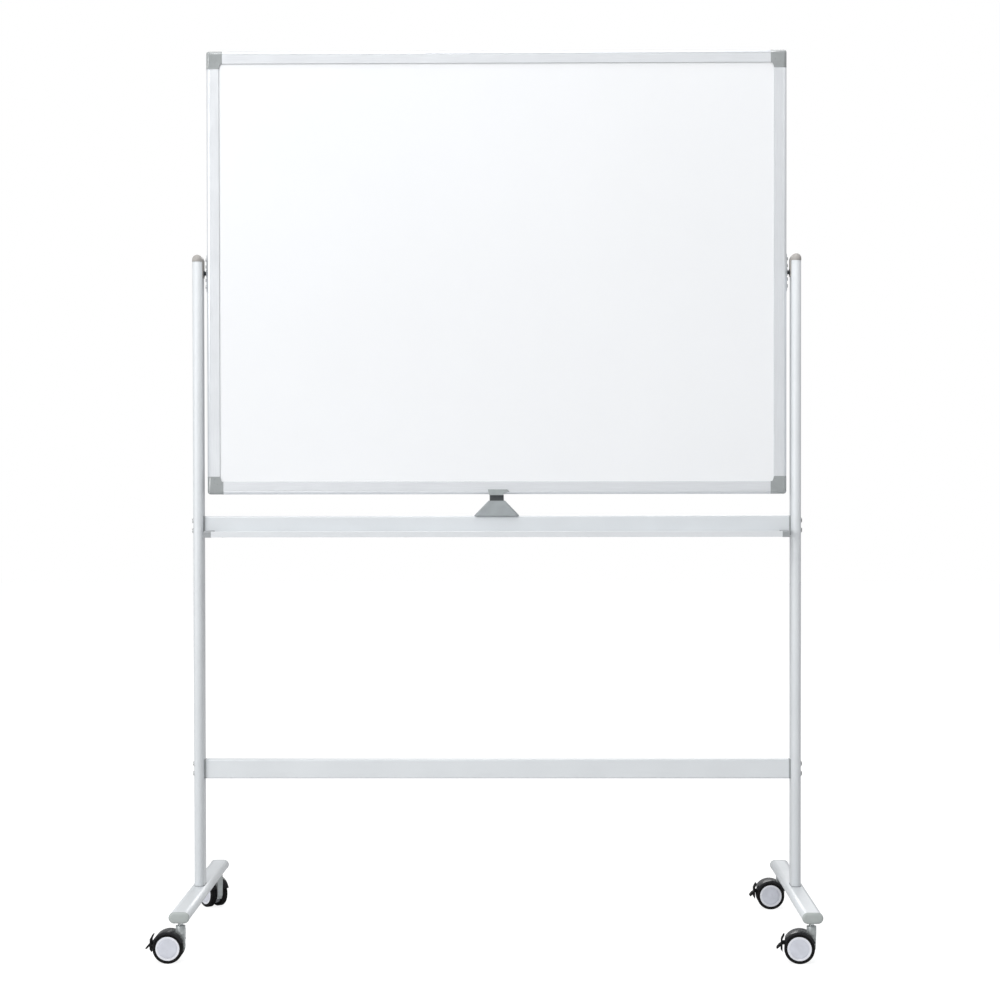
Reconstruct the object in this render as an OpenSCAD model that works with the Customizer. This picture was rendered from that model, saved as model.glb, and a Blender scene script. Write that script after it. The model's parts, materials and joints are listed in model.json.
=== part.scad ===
// Rolling whiteboard: a double-sided board that turns over on two side pivots,
// carried by a two-post stand on four braked twin-wheel casters.
// Frame: +Z up, +X to the right of a person facing the board, -Y towards that person.
// The origin is on the floor, midway between the two posts. Sizes are in millimetres.

/* [Board] */
// Width of the board over its frame
board_w = 1200; // [900:10:1500]
// Height of the board over its frame
board_h = 917; // [700:1:1000]
// Height of the board's lower edge above the floor
board_z = 915; // [905:1:1000]
// Depth of the frame rails
rail_t = 22; // [18:1:26]
// Visible width of the frame rails
rail_w = 26; // [24:0.5:32]
// Thickness of each enamelled steel sheet
sheet_t = 0.5; // [0.3:0.1:1.2]

/* [Stand] */
// Width of the post tube, across the stand
post_w = 20; // [16:1:24]
// Depth of the post tube, front to back
post_d = 50; // [40:1:60]
// Clear distance between the posts
post_gap = 1218; // [1214:1:1224]
// Wall thickness of the steel tubes
wall = 1.5; // [1.2:0.1:2]
// Length of each foot, front to back, with its end caps
foot_len = 600; // [540:10:640]
// Width of the foot tube
foot_w = 40; // [36:1:44]
// Height of the foot tube
foot_h = 21; // [19:1:24]
// Height of the foot's underside above the floor
foot_z = 80.5; // [78:0.5:86]

/* [Crossbars and tray] */
// Height of the rectangular crossbar tubes
bar_h = 40; // [36:1:44]
// Depth of the rectangular crossbar tubes
bar_d = 20; // [18:1:22]
// Height of the tray beam's underside
tray_beam_z = 830; // [800:1:832]
// Height of the lower crossbar's underside
lower_bar_z = 324.5; // [250:0.5:500]
// Distance of the tray's front lip from the middle of the stand
tray_reach = 72; // [60:1:80]
// Height of the tray's front lip
tray_lip = 12; // [10:1:16]
// Thickness of the tray's metal
tray_t = 2; // [1.5:0.5:2.5]
// Length of the tray's end caps
tray_cap_len = 15; // [12:1:18]

/* [Latch] */
// Width of the latch housing at the beam
latch_w = 92; // [80:1:110]
// Travel of the latch plunger
latch_travel = 10.8; // [10.6:0.1:11]

/* [Casters] */
// Diameter of the caster wheels
wheel_d = 60; // [56:1:62]
// Width of one wheel of the pair
wheel_w = 14; // [12:0.5:15]
// Distance between the two wheels of a pair
wheel_gap = 13; // [13:0.5:14]
// Distance from the swivel axis back to the wheel axle
trail = 23; // [22:1:26]
// Distance of the swivel axes from the middle of the stand
stem_y = 275; // [260:1:280]

/* [Hidden] */
$fn = 48;
// Running clearance between a shaft and its hole, on the radius
fit = 0.05;

// Board
pivot_z = board_z + board_h / 2;
lip_t = 2.5;                        // rail lips over the sheets
slot_y = rail_t / 2 - lip_t;        // outer face of the sheets
panel_inset = 13.5;                 // how deep the panel sits in the rails
panel_w = board_w - 2 * panel_inset;
panel_h = board_h - 2 * panel_inset;
edge_r = 7;                         // rounded outer edge of the rails
cap_x = 33;                         // corner cap, along the width
cap_z = 37;                       // corner cap, along the height
cap_proud = 0.4;                    // how far the caps stand out of the rails
bracket_t = 1.2;
bracket_w = 13;
bracket_h = 76;
screw_rows = [-28, -14, 14, 28];

// Pivot
pin_r = 4;
pin_in = board_w / 2 - 12.5;        // inner end of the pin, inside the rail
bush_r = 6;
boss_r = 6.5;
boss_t = 1.8;

// Posts, feet
post_x = post_gap / 2 + post_w / 2; // middle of a post, and of a foot
post_bottom = foot_z + foot_h;
post_top = pivot_z + 23.5;
tongue_t = 1.6;                     // tongue of a post cap, down the post's inner face
tongue_drop = 9;
foot_cap_t = 6;
foot_bolt_y = [-14, 14];
foot_bolt_r = 4;
collar_t = 1.5;

// Crossbars
bar_flange = 4;
bar_len = post_gap - 2 * bar_flange;
bolt_r = 3;
bolt_pitch = 20.4;
bolt_head_r = 6;
bar_rows = [tray_beam_z + bar_h / 2, lower_bar_z + bar_h / 2];
tray_screw_x = [-570, -190, 190, 570];

// Latch
latch_z = tray_beam_z + bar_h;      // top of the tray beam
latch_base_h = 31.5;
latch_top_w = 34;
neck_w = 29;
neck_d = 14;
neck_play = 0.3;
head_z = board_z - 2;               // underside of the latch head
head_floor = 1.6;
ear_top = board_z + 9.8;
head_w = 36;
spring_z = latch_z + 2;
neck_z = spring_z + 7.2 + latch_travel; // leaves 7.2 for the pressed spring

// Casters
wheel_r = wheel_d / 2;
hub_r = wheel_r - 6.5;
axle_r = 4;
axle_end = wheel_gap / 2 + wheel_w - 2.5;
stem_r = 5;
stem_low = 58;
neck_top = 72;
neck_r = 9.5;
hood_r = wheel_r + 3;
hood_t = 2;
hood_y = wheel_gap / 2 + wheel_w + 1.8;
lever_x = -26;                      // brake lever pivot, from the wheel axle
lever_z = 9;
lever_pin_r = 2;
// Name, position as sides of X and Y, and heading of the trail about the swivel axis
CASTERS = [["fl", -1, -1, 0], ["fr", 1, -1, -7], ["rl", -1, 1, -52], ["rr", 1, 1, 0]];
CASTER_PARTS = ["housing", "hood", "brake_lever", "tyre_a", "hub_a", "tyre_b", "hub_b"];

// ---- Shared shapes ----

// Outline of a flat-oval tube: w wide along X, d deep along Y, fully rounded ends
module oval(w, d) {
    r = min(w, d) / 2;
    square(w > d ? [w - d, d] : [w, d - w], center = true);
    for (s = [-1, 1]) translate(w > d ? [s * (w / 2 - r), 0] : [0, s * (d / 2 - r)]) circle(r);
}

// Rectangle with rounded corners, centred
module soft_rect(w, h, r) {
    square([w - 2 * r, h], center = true);
    square([w, h - 2 * r], center = true);
    for (x = [-1, 1], y = [-1, 1]) translate([x * (w / 2 - r), y * (h / 2 - r)]) circle(r);
}

// Cylinder along X from x0 to x1
module rod_x(x0, x1, r) {
    translate([x0, 0, 0]) rotate([0, 90, 0]) cylinder(h = x1 - x0, r = r);
}

// Cylinder along Y, centred on the origin
module rod_y(length, r) {
    rotate([90, 0, 0]) cylinder(h = length, r = r, center = true);
}

// A left part and its mirror image on the right
module both_sides() {
    children();
    mirror([1, 0, 0]) children();
}

// ---- Posts and feet ----

// One post, drawn on the right side
module post() {
    difference() {
        translate([post_x, 0, post_bottom + collar_t])
            linear_extrude(post_top - post_bottom - collar_t)
                difference() {
                    oval(post_w, post_d);
                    oval(post_w - 2 * wall, post_d - 2 * wall);
                }
        for (z = bar_rows, s = [-1, 1])
            translate([0, 0, z + s * bolt_pitch / 2]) rod_x(post_gap / 2 - 5, post_x + 15, bolt_r);
        translate([0, 0, pivot_z]) rod_x(post_gap / 2 - 5, post_x, pin_r);
    }
}

module right_post() { color("gainsboro") post(); }
module left_post() { color("gainsboro") mirror([1, 0, 0]) post(); }

// Drives a flat-oval outline along Y from y0 to y1 at the foot's height
module foot_run(w, h, y0, y1) {
    translate([post_x, y1, foot_z + foot_h / 2]) rotate([90, 0, 0])
        linear_extrude(y1 - y0) oval(w, h);
}

// One foot, drawn on the right side
module foot() {
    half = foot_len / 2 - foot_cap_t;
    difference() {
        foot_run(foot_w, foot_h, -half, half);
        foot_run(foot_w - 2 * wall, foot_h - 2 * wall, -half - 1, half + 1);
        for (y = foot_bolt_y)
            translate([post_x, y, foot_z - 1]) cylinder(h = foot_h + 2, r = foot_bolt_r);
        for (s = [-1, 1])
            translate([post_x, s * stem_y, foot_z - 1]) cylinder(h = foot_h / 2, r = stem_r);
    }
}

module right_foot() { color("gainsboro") foot(); }
module left_foot() { color("gainsboro") mirror([1, 0, 0]) foot(); }

// Rounded flange over the end of a foot, with a plug inside that holds the caster stem
module foot_end_caps() {
    half = foot_len / 2;
    color("darkgray") both_sides() for (s = [0, 1]) mirror([0, s, 0])
        difference() {
            union() {
                foot_run(foot_w + 0.6, foot_h + 0.6, -half + 2, -half + foot_cap_t);
                foot_run(foot_w - 2, foot_h - 2, -half, -half + foot_cap_t);
                foot_run(foot_w - 2 * wall, foot_h - 2 * wall, -half + foot_cap_t, -half + 42);
            }
            translate([post_x, -stem_y, foot_z - 1]) cylinder(h = 17, r = stem_r);
        }
}

// Threaded caster stems with a flat washer under the foot
module caster_stems() {
    color("silver") for (x = [-1, 1], y = [-1, 1])
        translate([x * post_x, y * stem_y, 0]) {
            translate([0, 0, stem_low]) cylinder(h = foot_z + 16 - stem_low, r = stem_r);
            translate([0, 0, foot_z - 0.8]) cylinder(h = 0.8, r = 7.5);
        }
}

// Plug in the bottom of each post, with a collar that shows above the foot
module post_foot_plugs() {
    color("dimgray") both_sides() difference() {
        translate([post_x, 0, post_bottom]) {
            linear_extrude(collar_t) oval(post_w + 1, post_d + 1);
            linear_extrude(30) oval(post_w - 2 * wall, post_d - 2 * wall);
        }
        for (y = foot_bolt_y)
            translate([post_x, y, post_bottom - 1]) cylinder(h = 26, r = foot_bolt_r);
    }
}

// Bolts that clamp the foot to the post plug from below
module foot_bolts() {
    color("gray") both_sides() for (y = foot_bolt_y) translate([post_x, y, 0]) {
        translate([0, 0, foot_z - 4]) difference() {
            cylinder(h = 4, r = 6.5);
            translate([0, 0, -1]) cylinder(h = 3, r = 2.6, $fn = 6);
        }
        translate([0, 0, foot_z]) cylinder(h = foot_h + 25, r = foot_bolt_r);
    }
}

// Domed cap with a plug in the post and a tongue down its inner face
module post_caps() {
    skirt = 4;
    r = post_w / 2 + 0.5;
    run = post_d - post_w;
    color("rosybrown") both_sides() difference() {
        union() {
            translate([post_x, 0, post_top]) {
                linear_extrude(skirt) oval(post_w + 1, post_d + 1);
                translate([0, 0, skirt]) difference() {
                    union() {
                        rod_y(run, r);
                        for (s = [-1, 1]) translate([0, s * run / 2, 0]) sphere(r);
                    }
                    translate([0, 0, -25]) cube([100, 100, 50], center = true);
                }
                translate([0, 0, -40])
                    linear_extrude(40) oval(post_w - 2 * wall, post_d - 2 * wall);
            }
            translate([post_gap / 2 - tongue_t, -12, pivot_z - tongue_drop])
                cube([tongue_t, 24, post_top - pivot_z + tongue_drop + skirt]);
        }
        translate([0, 0, pivot_z]) rod_x(post_gap / 2 - 5, post_x, pin_r);
    }
}

// ---- Pivots ----

// Steel pins fixed in the post caps, one at each side
module pivot_pins() {
    color("black") both_sides() translate([0, 0, pivot_z]) rod_x(pin_in, post_x, pin_r);
}

// Round bosses between the tongue and the board
module pivot_spacers() {
    color("black") both_sides() translate([0, 0, pivot_z]) difference() {
        rod_x(post_gap / 2 - tongue_t - boss_t, post_gap / 2 - tongue_t, boss_r);
        rod_x(post_gap / 2 - 10, post_gap / 2, pin_r);
    }
}

// Flanged bushes in the board, in which the pins turn
module pivot_bushes() {
    face = board_w / 2 + bracket_t;
    color("black") both_sides() translate([0, 0, pivot_z]) difference() {
        union() {
            rod_x(pin_in + 1, face, bush_r);
            rod_x(face, face + 1, bush_r + 2);
        }
        rod_x(pin_in - 5, face + 5, pin_r + fit);
    }
}

// Steel plates screwed to the side rails around the bushes
module pivot_brackets() {
    color("whitesmoke") both_sides() difference() {
        translate([board_w / 2 + bracket_t, 0, pivot_z]) rotate([0, -90, 0])
            linear_extrude(bracket_t) soft_rect(bracket_h, bracket_w, 3);
        translate([0, 0, pivot_z]) rod_x(board_w / 2 - 5, board_w / 2 + 5, bush_r);
        for (z = screw_rows)
            translate([0, 0, pivot_z + z]) rod_x(board_w / 2 - 5, board_w / 2 + 5, 2);
    }
}

// Pan-head screws of the brackets
module bracket_screws() {
    face = board_w / 2 + bracket_t;
    head_t = 2;
    color("gray") both_sides() for (z = screw_rows) translate([0, 0, pivot_z + z]) {
        rod_x(board_w / 2 - 9, face, 2);
        difference() {
            rod_x(face, face + head_t, 3.6);
            for (a = [0, 90]) rotate([a, 0, 0])
                translate([face + head_t, 0, 0]) cube([1.6, 4, 0.9], center = true);
        }
    }
}

// ---- Board ----

// Outline of a rail's section: x is the distance in from the board's edge, y the depth
module rail_section() {
    difference() {
        union() {
            translate([edge_r, -rail_t / 2]) square([rail_w - edge_r, rail_t]);
            translate([0, -rail_t / 2 + edge_r]) square([edge_r, rail_t - 2 * edge_r]);
            for (s = [-1, 1]) translate([edge_r, s * (rail_t / 2 - edge_r)]) circle(edge_r);
        }
        // Slot for the panel
        translate([panel_inset, -slot_y]) square([rail_w, 2 * slot_y]);
        // Hollow behind the edge
        translate([3, -6]) square([panel_inset - 5, 12]);
        // Fine grooves along both faces
        for (s = [-1, 1]) translate([edge_r + 0.5, s * rail_t / 2]) square([1, 0.8], center = true);
    }
}

// A rail of the given length along X, centred, with its outer edge at y = 0 looking up
module rail(length) {
    rotate([90, 0, 90]) linear_extrude(length, center = true)
        rotate(90) rail_section();
}

module bottom_rail() {
    color("lightgray") translate([0, 0, board_z]) rail(board_w - 2 * cap_x);
}

module top_rail() {
    color("lightgray") translate([0, 0, board_z + board_h]) mirror([0, 0, 1])
        rail(board_w - 2 * cap_x);
}

// A side rail, drawn on the right, with the holes of its pivot
module side_rail() {
    difference() {
        translate([board_w / 2, 0, pivot_z]) rotate([0, -90, 0]) rail(board_h - 2 * cap_z);
        translate([0, 0, pivot_z]) rod_x(board_w / 2 - 13.6, board_w / 2 + 5, bush_r);
        for (z = screw_rows)
            translate([0, 0, pivot_z + z]) rod_x(board_w / 2 - 9, board_w / 2 + 5, 2);
    }
}

module right_rail() { color("lightgray") side_rail(); }
module left_rail() { color("lightgray") mirror([1, 0, 0]) side_rail(); }

// Section of a cap across one of its outer edges, rounded like the rails
module cap_section(reach) {
    t = rail_t + 2 * cap_proud;
    translate([edge_r, -t / 2]) square([reach, t]);
    translate([0, -t / 2 + edge_r]) square([edge_r, t - 2 * edge_r]);
    for (s = [-1, 1]) translate([edge_r, s * (t / 2 - edge_r)]) circle(edge_r);
}

// One corner cap, with the board's lower left corner at the origin
module corner_cap() {
    reach = 40;
    difference() {
        intersection() {
            linear_extrude(reach) cap_section(reach);
            rotate([90, 0, 90]) linear_extrude(reach) rotate(90) cap_section(reach);
            rotate([90, 0, 0]) linear_extrude(2 * rail_t, center = true) difference() {
                union() {
                    translate([edge_r, 0]) square([cap_x - edge_r, cap_z]);
                    translate([0, edge_r]) square([cap_x, cap_z - edge_r]);
                    translate([edge_r, edge_r]) circle(edge_r);
                }
                // Curved inner corner that shows the sheet
                polygon([[cap_x, rail_w], [cap_x + 1, rail_w], [cap_x + 1, cap_z + 1],
                    [rail_w, cap_z + 1], [rail_w, cap_z], [rail_w + 1.2, cap_z - 4.5],
                    [cap_x - 4, rail_w + 1.2]]);
            }
        }
        // Slot for the panel
        translate([panel_inset, -slot_y, panel_inset]) cube([50, 2 * slot_y, 50]);
    }
}

module corner_caps() {
    color("slategray") for (x = [0, 1], z = [0, 1])
        mirror([x, 0, 0]) translate([0, 0, pivot_z]) mirror([0, 0, z])
            translate([-board_w / 2, 0, -board_h / 2]) corner_cap();
}

// A slab of the panel between two depths
module panel(y0, y1) {
    translate([-panel_w / 2, y0, pivot_z - panel_h / 2]) cube([panel_w, y1 - y0, panel_h]);
}

module front_sheet() { color("white") panel(-slot_y, -slot_y + sheet_t); }
module back_sheet() { color("white") panel(slot_y - sheet_t, slot_y); }
module board_core() { color("wheat") panel(-slot_y + sheet_t, slot_y - sheet_t); }

// ---- Crossbars and tray ----

// A rectangular crossbar tube between the posts' end plugs, on the height z
module crossbar(z) {
    difference() {
        translate([0, 0, z + bar_h / 2]) rotate([90, 0, 90])
            linear_extrude(bar_len, center = true) difference() {
                soft_rect(bar_d, bar_h, 3);
                soft_rect(bar_d - 2 * wall, bar_h - 2 * wall, 1.5);
            }
        children();
    }
}

module lower_crossbar() { color("gainsboro") crossbar(lower_bar_z); }

module tray_beam() {
    color("gainsboro") crossbar(tray_beam_z)
        for (x = tray_screw_x)
            translate([x, 0, tray_beam_z - 1]) cylinder(h = wall + 2, r = 2);
}

// Plastic end plugs with a flange between the tube and the post
module crossbar_end_plugs() {
    color("dimgray") both_sides() for (z = bar_rows) difference() {
        translate([0, 0, z]) rotate([90, 0, 90]) {
            translate([0, 0, bar_len / 2]) linear_extrude(bar_flange) soft_rect(bar_d, bar_h, 3);
            translate([0, 0, bar_len / 2 - 30]) linear_extrude(30)
                soft_rect(bar_d - 2 * wall, bar_h - 2 * wall, 1.5);
        }
        for (s = [-1, 1])
            translate([0, 0, z + s * bolt_pitch / 2])
                rod_x(bar_len / 2 - 22, bar_len / 2 + 5, bolt_r);
    }
}

// Button-head bolts through the posts into the end plugs
module crossbar_bolts() {
    outer = post_x + post_w / 2;
    color("gray") both_sides() for (z = bar_rows, s = [-1, 1])
        translate([0, 0, z + s * bolt_pitch / 2]) {
            rod_x(bar_len / 2 - 20, outer, bolt_r);
            difference() {
                union() {
                    rod_x(outer, outer + 2.4, bolt_head_r);
                    rod_x(outer + 2.4, outer + 3.8, bolt_head_r - 1.8);
                }
                rotate([0, 90, 0]) translate([0, 0, outer + 1.8]) cylinder(h = 5, r = 2.3, $fn = 6);
            }
        }
}

// Section of the marker tray: a floor that runs under the beam and a front lip
module tray_section() {
    translate([-tray_reach, 0]) square([tray_reach + bar_d / 2, tray_t]);
    translate([-tray_reach, 0]) square([tray_t, tray_lip - tray_t / 2]);
    translate([-tray_reach + tray_t / 2, tray_lip - tray_t / 2]) circle(tray_t / 2);
    // Low ridge that keeps the markers off the beam
    translate([-20, tray_t]) square([1.5, 1.5]);
}

// Runs a section drawn in Y and Z along X
module along_x(x0, x1) {
    translate([x0, 0, tray_beam_z - tray_t]) rotate([90, 0, 90]) linear_extrude(x1 - x0) children();
}

module marker_tray() {
    reach = board_w / 2 - tray_cap_len;
    color("gainsboro") difference() {
        along_x(-reach, reach) tray_section();
        for (x = tray_screw_x)
            translate([x, 0, tray_beam_z - tray_t - 1]) cylinder(h = tray_t + 2, r = 2);
    }
}

module tray_end_caps() {
    end = board_w / 2;
    color("dimgray") both_sides()
        along_x(end - tray_cap_len, end) translate([-tray_reach - 0.5, -0.5])
            soft_block(tray_reach - bar_d / 2 - 0.5, tray_lip + 1);
}

// Block with rounded upper corners, its lower left corner at the origin
module soft_block(w, h) {
    r = 3;
    square([w, h - r]);
    translate([r, 0]) square([w - 2 * r, h]);
    for (x = [r, w - r]) translate([x, h - r]) circle(r);
}

module tray_screws() {
    color("gray") for (x = tray_screw_x) translate([x, 0, 0]) {
        translate([0, 0, tray_beam_z - tray_t - 2.4]) cylinder(h = 2.4, r1 = 2.8, r2 = 4);
        translate([0, 0, tray_beam_z - tray_t]) cylinder(h = tray_t + 6, r = 2);
    }
}

// ---- Latch ----

// Prism along Y whose sides slope in above a short foot, from one half-width to another
module sloped(half_low, half_high, rise) {
    foot = 1.5;
    rotate([90, 0, 0]) linear_extrude(2 * latch_w, center = true)
        polygon([[-half_low, 0], [half_low, 0], [half_low, foot], [half_high, rise],
            [-half_high, rise], [-half_low, foot]]);
}

// Housing on the tray beam: bevelled sloping sides round the plunger's slot
module latch_base() {
    half = [latch_w / 2, latch_top_w / 2];  // half-widths at the bottom and the top
    half_depth = [15, 10.5];
    // Distance of the corner bevels from the middle
    bevel = [(half[0] + half_depth[0] - 4.5) / sqrt(2), (half[1] + half_depth[1] - 2) / sqrt(2)];
    color("darkgray") translate([0, 0, latch_z]) difference() {
        intersection() {
            sloped(half[0], half[1], latch_base_h);
            rotate(90) sloped(half_depth[0], half_depth[1], latch_base_h);
            rotate(45) sloped(bevel[0], bevel[1], latch_base_h);
            rotate(-45) sloped(bevel[0], bevel[1], latch_base_h);
        }
        translate([0, 0, 2]) linear_extrude(latch_base_h)
            soft_rect(neck_w + 2 * neck_play, neck_d + 2 * neck_play, 3);
    }
}

// Plunger: a neck in the housing and a forked head that holds the bottom rail
module latch_plunger() {
    ear_gap = rail_t / 2 + 0.5;
    ear_t = 3;
    head_d = 2 * (ear_gap + ear_t);
    color("gray") {
        translate([0, 0, neck_z]) linear_extrude(head_z - neck_z + head_floor / 2)
            soft_rect(neck_w, neck_d, 2.7);
        difference() {
            union() {
                rotate([90, 0, 0]) linear_extrude(head_d, center = true)
                    polygon([[-head_w / 2 + 3, head_z], [head_w / 2 - 4, head_z],
                        [head_w / 2, ear_top], [-head_w / 2, ear_top]]);
                // Thumb tab at the right
                translate([0, -ear_gap, 0]) rotate([90, 0, 0]) linear_extrude(ear_t)
                    polygon([[head_w / 2 - 1, ear_top], [head_w / 2 + 4, ear_top],
                        [head_w / 2 + 9, ear_top - 5], [head_w / 2 - 2, ear_top - 6]]);
            }
            translate([0, 0, head_z + head_floor + 20])
                cube([100, 2 * ear_gap, 40], center = true);
        }
    }
}

// Coil spring under the plunger, as a swept ring of short facets
module latch_spring() {
    turns = 4;
    steps = 12;                     // rings in each turn
    sides = 8;
    coil_r = 5;
    wire_r = 0.6;
    low = spring_z + wire_r;
    high = neck_z - wire_r;
    count = turns * steps;
    rings = [for (i = [0:count]) let (a = 360 * i / steps, z = low + (high - low) * i / count)
        for (k = [0:sides - 1]) let (b = 360 * k / sides, r = coil_r + wire_r * cos(b))
            [r * cos(a), r * sin(a), z + wire_r * sin(b)]];
    walls = [for (i = [0:count - 1], k = [0:sides - 1]) let (n = (k + 1) % sides)
        [i * sides + k, (i + 1) * sides + k, (i + 1) * sides + n, i * sides + n]];
    ends = [[for (k = [0:sides - 1]) k], [for (k = [sides - 1:-1:0]) count * sides + k]];
    color("silver") polyhedron(rings, concat(walls, ends));
}

// ---- Casters ----
// Each caster is drawn with its swivel axis on Z and its wheels trailing towards -X.

// Moves its children to a caster's place and heading
module at_caster(c) {
    translate([c[1] * post_x, c[2] * stem_y, 0]) rotate(c[3]) children();
}

// Moves its children to the wheel axle
module at_axle() {
    translate([-trail, 0, wheel_r]) children();
}

// Swivel fork: neck, central web between the wheels, axle and brake pin
module caster_housing() {
    web = wheel_gap - 1;
    arm = 5.5;                      // narrow arm that carries the brake lever
    saddle = 14;                    // half-width of the arc that the hood sits on
    color("silver") difference() {
        union() {
            translate([0, 0, wheel_r + 26]) cylinder(h = neck_top - wheel_r - 26, r = neck_r);
            at_axle() {
                rotate([90, 0, 0]) linear_extrude(web, center = true) {
                    circle(9);
                    intersection() {
                        circle(hood_r - hood_t);
                        translate([-saddle, 0]) square([2 * saddle, hood_r]);
                    }
                    polygon([[0, -9], [20, -13], [27, -10], [31, -2], [trail + 8.6, 8],
                        [trail + 9.2, 26], [trail + 9.2, 36], [trail - 9, 36], [trail - 9, 27],
                        [-6, 26], [-9, 0]]);
                }
                rotate([90, 0, 0]) linear_extrude(arm, center = true)
                    polygon([[-4, 0], [-4, 22], [lever_x, lever_z + 3.6], [lever_x, lever_z - 3.6]]);
                translate([lever_x, 0, lever_z]) {
                    rod_y(arm, 3.6);
                    rod_y(web, lever_pin_r);
                }
                rod_y(2 * axle_end, axle_r);
            }
        }
        translate([0, 0, stem_low - 0.4])
            cylinder(h = neck_top, r = stem_r + fit);
    }
}

// Plastic hood over both wheels, slotted round the neck, with side lips
module caster_hood() {
    from = 22;
    to = 152;
    big = 100;
    color("dimgray") difference() {
        at_axle() intersection() {
            difference() {
                rod_y(2 * hood_y, hood_r);
                rod_y(2 * hood_y - 2.4, hood_r - hood_t);
                rod_y(3 * hood_y, hood_r - 4.5);
            }
            // The sector that the hood covers
            rotate([90, 0, 0]) linear_extrude(big, center = true)
                polygon([[0, 0], [big * cos(from), big * sin(from)], [big, big],
                    [-big, big], [big * cos(to), big * sin(to)]]);
        }
        translate([0, 0, wheel_r + 20]) cube([2 * neck_r + 1, 2 * neck_r + 1, 60], center = true);
        translate([20, 0, wheel_r]) cube([40, wheel_gap, 80], center = true);
    }
}

// Y-shaped pedal: its lower prong is pressed to brake, the upper one to release
module caster_brake_lever() {
    web = wheel_gap - 1;
    cheek = 2.9;
    half_w = 9;                     // half-width of the pedal
    color("black") at_axle() difference() {
        union() {
            // Cheeks on the pin, at both sides of the arm
            for (s = [-1, 1]) translate([0, s * (web - cheek) / 2, 0])
                rotate([90, 0, 0]) linear_extrude(cheek, center = true) {
                    translate([lever_x, lever_z]) circle(3.6);
                    polygon([[lever_x, lever_z + 3.6], [-35, 11], [-35, 5], [lever_x, lever_z - 3.6]]);
                }
            // Pedal: pad towards the tyres, upper prong, lower prong
            rotate([90, 0, 0]) linear_extrude(2 * half_w, center = true) {
                polygon([[-33.2, -9], [-33.2, 9], [-35.4, 9], [-37.4, 3], [-36.8, -4]]);
                polygon([[-33.2, 7], [-33.4, 15], [-29.4, 24.2], [-31.6, 25.2], [-36.8, 16],
                    [-36.8, 7]]);
                polygon([[-34.6, 9], [-36, 8], [-40.6, 4.8], [-45.4, -1.2], [-44.6, -3],
                    [-42.4, -2.6], [-37.8, 1.6], [-34.6, 3]]);
            }
        }
        translate([lever_x, 0, lever_z]) rod_y(30, lever_pin_r + fit);
    }
}

// Rubber tyre of the wheel at side s, with rounded shoulders
module caster_tyre(s) {
    shoulder = 3;
    w = wheel_w;
    color("black") at_axle() translate([0, s * (wheel_gap + w) / 2, 0])
        rotate([90, 0, 0]) rotate_extrude() {
            translate([hub_r, -w / 2]) square([wheel_r - hub_r - shoulder, w]);
            translate([hub_r, -w / 2 + shoulder]) square([wheel_r - hub_r, w - 2 * shoulder]);
            for (k = [-1, 1])
                translate([wheel_r - shoulder, k * (w / 2 - shoulder)]) circle(shoulder);
        }
}

// Plastic hub of the wheel at side s: a disc with a raised rim and a blind bore
module caster_hub(s) {
    w = wheel_w;
    rim = 4;
    color("white") at_axle() mirror([0, s < 0 ? 0 : 1, 0])
        translate([0, -wheel_gap / 2, 0]) rotate([90, 0, 0]) difference() {
            union() {
                cylinder(h = w - 0.8, r = hub_r);
                translate([0, 0, w - 0.8]) difference() {
                    cylinder(h = 0.8, r = hub_r);
                    translate([0, 0, -1]) cylinder(h = 3, r = hub_r - rim);
                }
            }
            translate([0, 0, -1]) cylinder(h = w - 1.3, r = axle_r + fit);
        }
}

module caster_part(part) {
    if (part == "housing") caster_housing();
    if (part == "hood") caster_hood();
    if (part == "brake_lever") caster_brake_lever();
    if (part == "tyre_a") caster_tyre(-1);
    if (part == "hub_a") caster_hub(-1);
    if (part == "tyre_b") caster_tyre(1);
    if (part == "hub_b") caster_hub(1);
}

// ---- Drawing ----

left_post();
right_post();
left_foot();
right_foot();
post_caps();
foot_end_caps();
post_foot_plugs();
foot_bolts();
caster_stems();
tray_beam();
lower_crossbar();
crossbar_end_plugs();
crossbar_bolts();
marker_tray();
tray_end_caps();
tray_screws();
pivot_pins();
pivot_spacers();
latch_base();
latch_plunger();
latch_spring();
front_sheet();
back_sheet();
board_core();
top_rail();
bottom_rail();
left_rail();
right_rail();
corner_caps();
pivot_brackets();
bracket_screws();
pivot_bushes();
for (c = CASTERS, p = CASTER_PARTS)
    at_caster(c) caster_part(p);
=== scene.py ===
"""Looks of the rolling whiteboard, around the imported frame. Lengths are in metres."""
import json
import math

import bmesh
import bpy
from mathutils import Matrix, Vector


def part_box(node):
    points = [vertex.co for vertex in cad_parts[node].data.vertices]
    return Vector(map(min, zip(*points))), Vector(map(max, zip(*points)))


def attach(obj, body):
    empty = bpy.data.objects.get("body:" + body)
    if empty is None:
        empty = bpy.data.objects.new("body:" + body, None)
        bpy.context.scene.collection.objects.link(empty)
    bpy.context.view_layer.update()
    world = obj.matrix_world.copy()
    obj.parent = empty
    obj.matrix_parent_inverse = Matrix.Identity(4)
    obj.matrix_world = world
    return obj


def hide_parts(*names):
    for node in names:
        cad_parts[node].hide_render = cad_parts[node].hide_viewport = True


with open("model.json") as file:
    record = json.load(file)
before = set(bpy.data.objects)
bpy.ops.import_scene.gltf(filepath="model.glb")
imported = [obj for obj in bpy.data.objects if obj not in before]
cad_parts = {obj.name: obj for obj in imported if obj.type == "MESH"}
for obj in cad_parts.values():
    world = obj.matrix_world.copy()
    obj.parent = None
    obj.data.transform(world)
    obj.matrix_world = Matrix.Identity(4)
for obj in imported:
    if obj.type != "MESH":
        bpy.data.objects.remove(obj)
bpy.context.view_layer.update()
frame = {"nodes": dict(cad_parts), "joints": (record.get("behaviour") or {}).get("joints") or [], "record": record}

MM = 0.001
RECORD = frame["record"]
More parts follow.
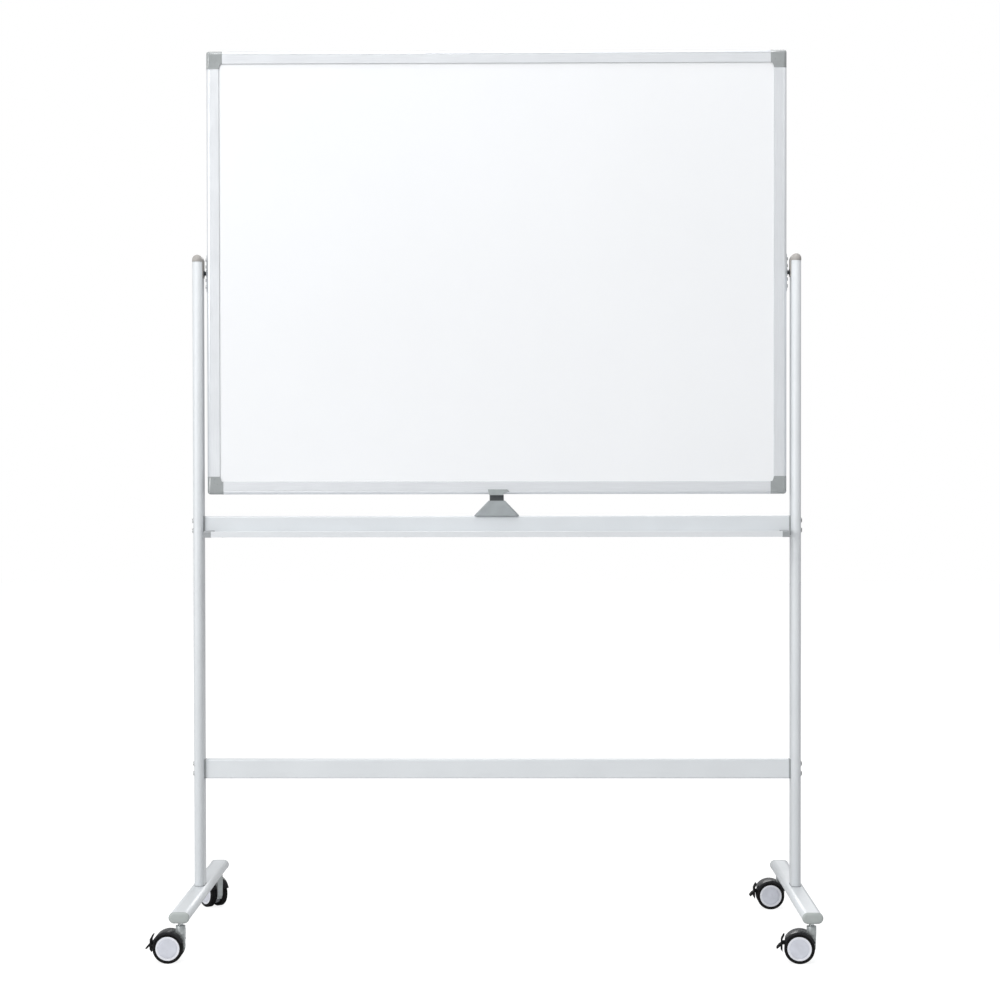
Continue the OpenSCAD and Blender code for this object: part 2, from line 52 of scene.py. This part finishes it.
NODES = frame["nodes"]
JOINTS = {j["name"]: j for j in frame["joints"]}
SLOT_OF = {row["node"]: row["material_slot"] for row in RECORD["subparts"]}
COLOUR_OF = {row["slot"]: tuple(row["base_color"][:3]) for row in RECORD["materials"]}
CASTERS = ("caster_fl", "caster_fr", "caster_rl", "caster_rr")


# ---- Materials ----

class Shader:
    """A Principled material, with short calls for the procedural nodes that feed it."""

    def __init__(self, name, colour, roughness, **fixed):
        self.material = bpy.data.materials.new(name)
        self.material.use_nodes = True
        self.material.diffuse_color = (*colour, 1)
        self.tree = self.material.node_tree
        self.tree.nodes.clear()
        self.out = self.tree.nodes.new("ShaderNodeOutputMaterial")
        self.main = self.tree.nodes.new("ShaderNodeBsdfPrincipled")
        self.tree.links.new(self.main.outputs["BSDF"], self.out.inputs["Surface"])
        self.main.inputs["Base Color"].default_value = (*colour, 1)
        self.main.inputs["Roughness"].default_value = roughness
        for socket, value in fixed.items():
            self.main.inputs[socket.replace("_", " ")].default_value = value
        self.coords = self.tree.nodes.new("ShaderNodeTexCoord")
        self.height = None

    def noise(self, scale, detail=3.0, stretch=(1, 1, 1)):
        """Noise in the piece's own metres, finer as scale grows, drawn out by stretch."""
        mapping = self.tree.nodes.new("ShaderNodeMapping")
        mapping.inputs["Scale"].default_value = stretch
        self.tree.links.new(self.coords.outputs["Object"], mapping.inputs["Vector"])
        node = self.tree.nodes.new("ShaderNodeTexNoise")
        node.inputs["Scale"].default_value = scale
        node.inputs["Detail"].default_value = detail
        self.tree.links.new(mapping.outputs["Vector"], node.inputs["Vector"])
        return node.outputs["Fac"]

    def spread(self, value, low, high):
        """Maps the middle of a noise onto low to high."""
        node = self.tree.nodes.new("ShaderNodeMapRange")
        node.inputs["From Min"].default_value = 0.3
        node.inputs["From Max"].default_value = 0.7
        node.inputs["To Min"].default_value = low
        node.inputs["To Max"].default_value = high
        self.tree.links.new(value, node.inputs["Value"])
        return node.outputs["Result"]

    def mottle(self, value, dark, light):
        """Colour that runs from dark to light with a noise."""
        ramp = self.tree.nodes.new("ShaderNodeValToRGB")
        ramp.color_ramp.elements[0].position = 0.3
        ramp.color_ramp.elements[1].position = 0.7
        ramp.color_ramp.elements[0].color = (*dark, 1)
        ramp.color_ramp.elements[1].color = (*light, 1)
        self.tree.links.new(value, ramp.inputs["Fac"])
        self.tree.links.new(ramp.outputs["Color"], self.main.inputs["Base Color"])

    def roughness(self, value, low, high):
        self.tree.links.new(self.spread(value, low, high), self.main.inputs["Roughness"])

    def bump(self, value, depth, strength=1.0):
        """Adds relief of a depth in metres on top of any relief made before."""
        node = self.tree.nodes.new("ShaderNodeBump")
        node.inputs["Distance"].default_value = depth
        node.inputs["Strength"].default_value = strength
        self.tree.links.new(value, node.inputs["Height"])
        if self.height:
            self.tree.links.new(self.height, node.inputs["Normal"])
        self.height = node.outputs["Normal"]
        self.tree.links.new(self.height, self.main.inputs["Normal"])


def shade(colour, factor):
    return tuple(min(1.0, c * factor) for c in colour)


def powder_coat(name, colour):
    """Satin paint baked on steel, with a fine orange-peel skin."""
    s = Shader(name, colour, 0.4, Coat_Weight=0.25, Coat_Roughness=0.25)
    s.mottle(s.noise(9, 2), shade(colour, 0.975), shade(colour, 1.02))
    s.roughness(s.noise(260), 0.34, 0.46)
    s.bump(s.noise(620, 2), 0.00003)
    s.bump(s.noise(2600, 1), 0.000012)
    return s.material


def anodised(name, colour, along):
    """Clear anodised aluminium with fine drawing lines along one axis."""
    across = 420
    stretch = tuple(6 if axis == along else across for axis in "XYZ")
    s = Shader(name, colour, 0.36, Metallic=0.35, Anisotropic=0.35)
    lines = s.noise(3, 3, stretch)
    s.mottle(lines, shade(colour, 0.955), shade(colour, 1.03))
    s.roughness(s.noise(40, 4), 0.32, 0.44)
    s.bump(lines, 0.000012, 0.7)
    return s.material


def enamel(name, colour):
    """Glossy baked enamel on thin steel, with faint wiping streaks and a trace of oil-canning."""
    s = Shader(name, colour, 0.16, Coat_Weight=0.4, Coat_Roughness=0.06)
    wipes = s.noise(5, 5, (1.0, 1.0, 3.2))
    s.mottle(s.noise(2.2, 4), shade(colour, 0.988), shade(colour, 1.006))
    s.roughness(wipes, 0.13, 0.24)
    s.bump(s.noise(3.0, 1), 0.0005, 0.25)
    s.bump(s.noise(900, 2), 0.000006)
    return s.material


def moulding(name, colour, low=0.42, high=0.58, grain=1500, depth=0.00003, coat=0.0, shine=0.5):
    """Injection-moulded plastic with a spark-eroded grain, and a gloss on top when asked."""
    s = Shader(name, colour, (low + high) / 2, Coat_Weight=coat, Coat_Roughness=0.2,
               Specular_IOR_Level=shine)
    s.mottle(s.noise(60, 4), shade(colour, 0.93), shade(colour, 1.06))
    s.roughness(s.noise(180, 3), low, high)
    s.bump(s.noise(grain, 2), depth)
    return s.material


def zinc_plate(name, colour, low=0.28, high=0.42):
    """Plated steel of small turned or pressed parts."""
    s = Shader(name, colour, 0.35, Metallic=0.9)
    s.mottle(s.noise(120, 4), shade(colour, 0.88), shade(colour, 1.08))
    s.roughness(s.noise(400, 3), low, high)
    s.bump(s.noise(1400, 2), 0.00001)
    return s.material


def die_cast(name, colour):
    """Blasted zinc casting with a slightly pebbled skin."""
    s = Shader(name, colour, 0.45, Metallic=0.55)
    s.mottle(s.noise(80, 4), shade(colour, 0.9), shade(colour, 1.08))
    s.roughness(s.noise(300, 3), 0.36, 0.52)
    s.bump(s.noise(900, 3), 0.00004)
    return s.material


def rubber(name, colour):
    """Smooth tread with a little dust and a fine mould texture."""
    s = Shader(name, colour, 0.55, Specular_IOR_Level=0.08)
    s.mottle(s.noise(140, 5), shade(colour, 0.6), tuple(c + 0.004 for c in colour))
    s.roughness(s.noise(220, 4), 0.42, 0.66)
    s.bump(s.noise(1300, 3), 0.00003)
    return s.material


def fibre(name, colour):
    """Pressed fibre of the hidden core."""
    s = Shader(name, colour, 0.85)
    s.mottle(s.noise(700, 4, (1, 1, 0.3)), shade(colour, 0.8), shade(colour, 1.1))
    s.bump(s.noise(900, 4), 0.0001)
    return s.material


def make_materials():
    """One material for each slot of the record, and a second direction for the rails."""
    c = COLOUR_OF
    made = {
        "powder_coat": powder_coat("powder_coat", c["powder_coat"]),
        "tray_metal": powder_coat("tray_metal", c["tray_metal"]),
        "anodised_rail": anodised("anodised_along_x", c["anodised_rail"], "X"),
        "anodised_rail_z": anodised("anodised_along_z", c["anodised_rail"], "Z"),
        "enamel_sheet": enamel("enamel_sheet", c["enamel_sheet"]),
        "core": fibre("core", c["core"]),
        "fastener_steel": zinc_plate("fastener_steel", c["fastener_steel"]),
        "stem_steel": zinc_plate("stem_steel", c["stem_steel"], 0.2, 0.32),
        "spring_steel": zinc_plate("spring_steel", c["spring_steel"]),
        "die_cast": die_cast("die_cast", c["die_cast"]),
        "tyre_rubber": rubber("tyre_rubber", c["tyre_rubber"]),
        "hub_plastic": moulding("hub_plastic", c["hub_plastic"], 0.3, 0.42, 1200, 0.000012),
        "hood_plastic": moulding("hood_plastic", c["hood_plastic"], 0.24, 0.36, 1800, 0.00001,
                                 shine=0.2),
    }
    for slot in ("dome_plastic", "foot_cap_plastic", "plug_plastic", "pivot_black"):
        made[slot] = moulding(slot, c[slot])
    made["pedal_plastic"] = moulding("pedal_plastic", c["pedal_plastic"], 0.5, 0.7, shine=0.1)
    made["corner_plastic"] = moulding("corner_plastic", c["corner_plastic"], 0.26, 0.38,
                                      coat=1.0, shine=0.8)
    for slot in ("latch_plastic", "latch_head_plastic"):
        made[slot] = moulding(slot, c[slot], 0.38, 0.52, coat=0.15)
    return made


MATERIALS = make_materials()


# ---- CAD nodes ----

def soften(obj, width, angle=30):
    """Rounds the sharp edges of a CAD node with weld and bevel modifiers, with hardened normals."""
    weld = obj.modifiers.new("weld", "WELD")
    weld.merge_threshold = 0.000005
    bevel = obj.modifiers.new("edges", "BEVEL")
    bevel.width = width
    bevel.segments = 2
    bevel.limit_method = "ANGLE"
    bevel.angle_limit = math.radians(angle)
    bevel.harden_normals = True


# Edge radius of the CAD nodes by slot, in millimetres; others keep the small default
EDGE_DEFAULT = 0.3
EDGE = {"corner_plastic": 0.8, "dome_plastic": 0.4, "latch_plastic": 1.0, "latch_head_plastic": 0.6,
        "die_cast": 1.1, "hood_plastic": 0.35, "pedal_plastic": 0.7, "hub_plastic": 0.3,
        "enamel_sheet": 0.1, "core": 0.1, "tyre_rubber": 0.1, "spring_steel": 0.0}


def dress_nodes():
    for name, obj in NODES.items():
        slot = SLOT_OF[name]
        key = "anodised_rail_z" if name in ("left_rail", "right_rail") else slot
        obj.data.materials.clear()
        obj.data.materials.append(MATERIALS[key])
        width = EDGE.get(slot, EDGE_DEFAULT) * MM
        if width:
            soften(obj, width)


dress_nodes()


# ---- Pieces ----

def piece(name, points, faces, material, body, smooth=50):
    """A mesh object with one material that rides on a body."""
    mesh = bpy.data.meshes.new(name)
    mesh.from_pydata([tuple(p) for p in points], [], faces)
    mesh.validate()
    shape = bmesh.new()
    shape.from_mesh(mesh)
    bmesh.ops.remove_doubles(shape, verts=shape.verts, dist=1e-7)
    bmesh.ops.recalc_face_normals(shape, faces=shape.faces)
    shape.to_mesh(mesh)
    shape.free()
    mesh.polygons.foreach_set("use_smooth", [True] * len(mesh.polygons))
    mesh.set_sharp_from_angle(angle=math.radians(smooth))
    mesh.materials.append(material)
    obj = bpy.data.objects.new(name, mesh)
    bpy.context.scene.collection.objects.link(obj)
    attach(obj, body)
    return obj


def loft(rings, closed=False):
    """Faces between rings of equal length, with the first and last ring capped unless closed."""
    n = len(rings[0])
    points = [p for ring in rings for p in ring]
    pairs = list(zip(range(len(rings)), range(1, len(rings))))
    if closed:
        pairs.append((len(rings) - 1, 0))
    faces = [(a * n + i, b * n + i, b * n + (i + 1) % n, a * n + (i + 1) % n)
             for a, b in pairs for i in range(n)]
    if not closed:
        faces += [tuple(range(n)), tuple(range((len(rings) - 1) * n, len(rings) * n))]
    return points, faces


def turned(profile, place, steps=64):
    """A solid of revolution about the local Z axis of place, from (radius, height) points."""
    rings = []
    for k in range(steps):
        turn = Matrix.Rotation(2 * math.pi * k / steps, 4, "Z")
        rings.append([place @ turn @ Vector((r, 0, h)) for r, h in profile])
    return loft(rings, closed=True)


def on_axis(at, axis):
    """Place whose local Z points along axis, with its origin at the point at."""
    return Matrix.Translation(at) @ Vector(axis).to_track_quat("Z", "Y").to_matrix().to_4x4()


HUB_HALF_WIDTH = 7 * MM
HUB_RECESS = 0.8 * MM


def hub_discs():
    """Disc with a fine step and a shallow centre, in the recess of each wheel's outer face."""
    lilac = moulding("hub_disc", (0.66, 0.675, 0.74), 0.34, 0.48, 1100, 0.00001)
    radius = 18.8 * MM
    for caster in CASTERS:
        for side in "ab":
            joint = JOINTS[f"{caster}_spin_{side}"]
            axle = Vector(joint["pos_m"])
            axis = Vector(joint["axis"]) * (-1 if side == "a" else 1)
            low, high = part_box(f"{caster}_hub_{side}")
            # The hub's outer face lies as far out as its box's middle plus half a wheel's width
            face = ((low + high) / 2 - axle).dot(axis) + HUB_HALF_WIDTH
            recess_floor = face - HUB_RECESS
            profile = [(0, 0), (radius, 0), (radius, 0.45 * MM), (radius - 0.5 * MM, 0.7 * MM),
                       (15 * MM, 0.6 * MM), (8 * MM, 0.35 * MM), (4.2 * MM, 0.3 * MM),
                       (4.0 * MM, 0.55 * MM), (0, 0.6 * MM)]
            points, faces = turned(profile, on_axis(axle + axis * recess_floor, axis))
            disc = piece(f"{caster}_disc_{side}", points, faces, lilac, f"{caster}_wheel_{side}", 30)


def gaskets():
    """Thin grey bead where each rail's lip meets the sheet, on both faces."""
    grey = moulding("gasket", (0.42, 0.43, 0.44), 0.5, 0.7)
    radius = 0.45 * MM
    lip = 26.0 * MM
    low = Vector((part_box("left_rail")[0].x + lip, 0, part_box("bottom_rail")[0].z + lip))
    high = Vector((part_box("right_rail")[1].x - lip, 0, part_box("top_rail")[1].z - lip))
    corners = [(low.x, low.z), (high.x, low.z), (high.x, high.z), (low.x, high.z)]
    for side, sheet in (("front", -1), ("back", 1)):
        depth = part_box(f"{side}_sheet")[0 if sheet < 0 else 1].y
        rings = []
        for x, z in corners:
            inward = Vector((-math.copysign(1, x), 0, 1 if z == low.z else -1))
            rings.append([Vector((x, depth, z)) + inward * radius * math.cos(a)
                          + Vector((0, radius * math.sin(a), 0))
                          for a in (2 * math.pi * k / 8 for k in range(8))])
        points, faces = loft(rings, closed=True)
        bead = piece(f"{side}_gasket", points, faces, grey, "board", 60)


def oval_ring(width, height, steps=20):
    """Outline of a flat oval in X and Z, counter-clockwise from the lower right."""
    r = height / 2
    run = (width - height) / 2
    ring = []
    for side, start in ((1, -math.pi / 2), (-1, math.pi / 2)):
        for k in range(steps + 1):
            a = start + math.pi * k / steps
            ring.append((side * run + r * math.cos(a), r * math.sin(a)))
    return ring


def foot_caps():
    """Pillowed end caps of the feet, with a fine parting line towards the tube."""
    low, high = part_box("foot_end_caps")
    tube_low, tube_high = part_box("right_foot")
    width = 41.0 * MM
    height = 22.0 * MM
    x_mid = (tube_low.x + tube_high.x) / 2
    z_mid = (tube_low.z + tube_high.z) / 2
    # (distance in from the front face, share that the outline shrinks by)
    steps = [(0.0, 5.2), (0.25, 3.4), (0.8, 2.0), (1.6, 1.0), (2.6, 0.35), (3.8, 0.0),
             (5.4, 0.0), (5.8, 0.25), (5.95, 0.9)]
    for sx, x_name in ((-1, "left"), (1, "right")):
        for sy, y_name in ((-1, "front"), (1, "rear")):
            end = low.y if sy < 0 else high.y
            rings = [[Vector((sx * x_mid + x, end - sy * depth * MM, z_mid + z))
                      for x, z in oval_ring(width - 2 * cut * MM, height - 2 * cut * MM)]
                     for depth, cut in steps]
            points, faces = loft(rings)
            cap = piece(f"{x_name}_{y_name}_foot_cap", points, faces,
                        MATERIALS["foot_cap_plastic"], "stand", 40)
            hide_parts("foot_end_caps")


def latch_painted_shade_sleeve():
    """Dark sleeve on the plunger's neck, a painted shade for the shadow under the latch head, thin enough to slide
    inside the housing's slot.
    """
    low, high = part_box("latch_plunger")
    half_w = 14.65 * MM
    half_d = 7.15 * MM
    r = 2.85 * MM
    head_height = 11.7 * MM
    corners = [(1, -1, -90), (1, 1, 0), (-1, 1, 90), (-1, -1, 180)]
    outline = []
    for sx, sy, start in corners:
        for k in range(7):
            a = math.radians(start + 15 * k)
            outline.append((sx * (half_w - r) + r * math.cos(a), sy * (half_d - r) + r * math.sin(a)))
    rings = [[Vector((x, y, z)) for x, y in outline]
             for z in (low.z - 0.1 * MM, high.z - head_height)]
    points, faces = loft(rings)
    # Painted shade: this near-black colour stands in for the shadow that falls on the neck under the head
    dark = moulding("latch_painted_shade_sleeve", (0.075, 0.082, 0.085), 0.5, 0.65)
    neck_shade_sleeve = piece("latch_painted_shade_sleeve", points, faces, dark, "latch", 40)


hub_discs()
gaskets()
foot_caps()
latch_painted_shade_sleeve()


# ---- Stage ----

def floor():
    """Plain pale floor: near white to the camera, and a mid grey to the light it throws back."""
    size = 14
    shader = Shader("floor", (0.3, 0.3, 0.3), 0.8, Emission_Color=(1, 1, 1, 1),
                    Emission_Strength=0.86, Specular_IOR_Level=0.0)
    tree = shader.tree
    bounce = tree.nodes.new("ShaderNodeBsdfDiffuse")
    bounce.inputs["Color"].default_value = (0.65, 0.65, 0.65, 1)
    path = tree.nodes.new("ShaderNodeLightPath")
    mix = tree.nodes.new("ShaderNodeMixShader")
    tree.links.new(path.outputs["Is Camera Ray"], mix.inputs["Fac"])
    tree.links.new(bounce.outputs["BSDF"], mix.inputs[1])
    tree.links.new(shader.main.outputs["BSDF"], mix.inputs[2])
    tree.links.new(mix.outputs["Shader"], shader.out.inputs["Surface"])
    mesh = bpy.data.meshes.new("floor")
    corners = [(-size, -size, 0), (size, -size, 0), (size, size, 0), (-size, size, 0)]
    mesh.from_pydata(corners, [], [(0, 1, 2, 3)])
    mesh.materials.append(shader.material)
    obj = bpy.data.objects.new("floor", mesh)
    bpy.context.scene.collection.objects.link(obj)


def area_light(name, at, towards, size, power, colour=(1, 1, 1)):
    data = bpy.data.lights.new(name, "AREA")
    data.shape = "RECTANGLE"
    data.size, data.size_y = size
    data.energy = power
    data.color = colour
    obj = bpy.data.objects.new(name, data)
    obj.location = at
    obj.rotation_euler = (Vector(towards) - Vector(at)).to_track_quat("-Z", "Y").to_euler()
    obj.visible_camera = False
    bpy.context.scene.collection.objects.link(obj)


def lights():
    """White studio: an even surround, a soft key from the left, a high front, top and back."""
    world = bpy.data.worlds.new("studio")
    world.use_nodes = True
    bpy.context.scene.world = world
    tree = world.node_tree
    seen = tree.nodes["Background"]
    seen.inputs["Color"].default_value = (1, 1, 1, 1)
    seen.inputs["Strength"].default_value = 1.0
    around = tree.nodes.new("ShaderNodeBackground")
    around.inputs["Color"].default_value = (0.97, 0.985, 1, 1)
    around.inputs["Strength"].default_value = 0.47
    path = tree.nodes.new("ShaderNodeLightPath")
    mix = tree.nodes.new("ShaderNodeMixShader")
    tree.links.new(path.outputs["Is Camera Ray"], mix.inputs["Fac"])
    tree.links.new(around.outputs["Background"], mix.inputs[1])
    tree.links.new(seen.outputs["Background"], mix.inputs[2])
    tree.links.new(mix.outputs["Shader"], tree.nodes["World Output"].inputs["Surface"])
    area_light("key", (-4.5, -4.2, 2.2), (0, 0, 0.9), (2.0, 3.4), 138)
    area_light("front", (-1.0, -4.6, 6.0), (0, 0, 0.9), (2.6, 1.6), 130)
    area_light("top", (0.2, -0.6, 4.2), (0, 0, 0.6), (3.0, 2.0), 45)
    area_light("back", (0.4, 6.0, 3.6), (0, 0, 0.9), (3.0, 2.0), 90)


def camera():
    """The photograph's viewpoint: almost square on, a little below the middle of the board."""
    data = bpy.data.cameras.new("camera")
    data.sensor_width = 36
    data.lens = 82.3
    data.clip_start = 0.1
    data.clip_end = 60
    obj = bpy.data.objects.new("camera", data)
    obj.location = (0.062, -4.746, 0.9805)
    yaw, pitch, roll = (math.radians(a) for a in (0.666, -0.938, 0.088))
    aim = Matrix.Rotation(yaw, 4, "Z") @ Matrix.Rotation(pitch, 4, "X")
    aim = aim @ Matrix.Rotation(roll, 4, "Y")
    obj.rotation_euler = (aim @ Matrix.Rotation(math.pi / 2, 4, "X")).to_euler()
    bpy.context.scene.collection.objects.link(obj)
    bpy.context.scene.camera = obj


floor()
lights()
camera()
bpy.context.scene.view_settings.view_transform = "Standard"
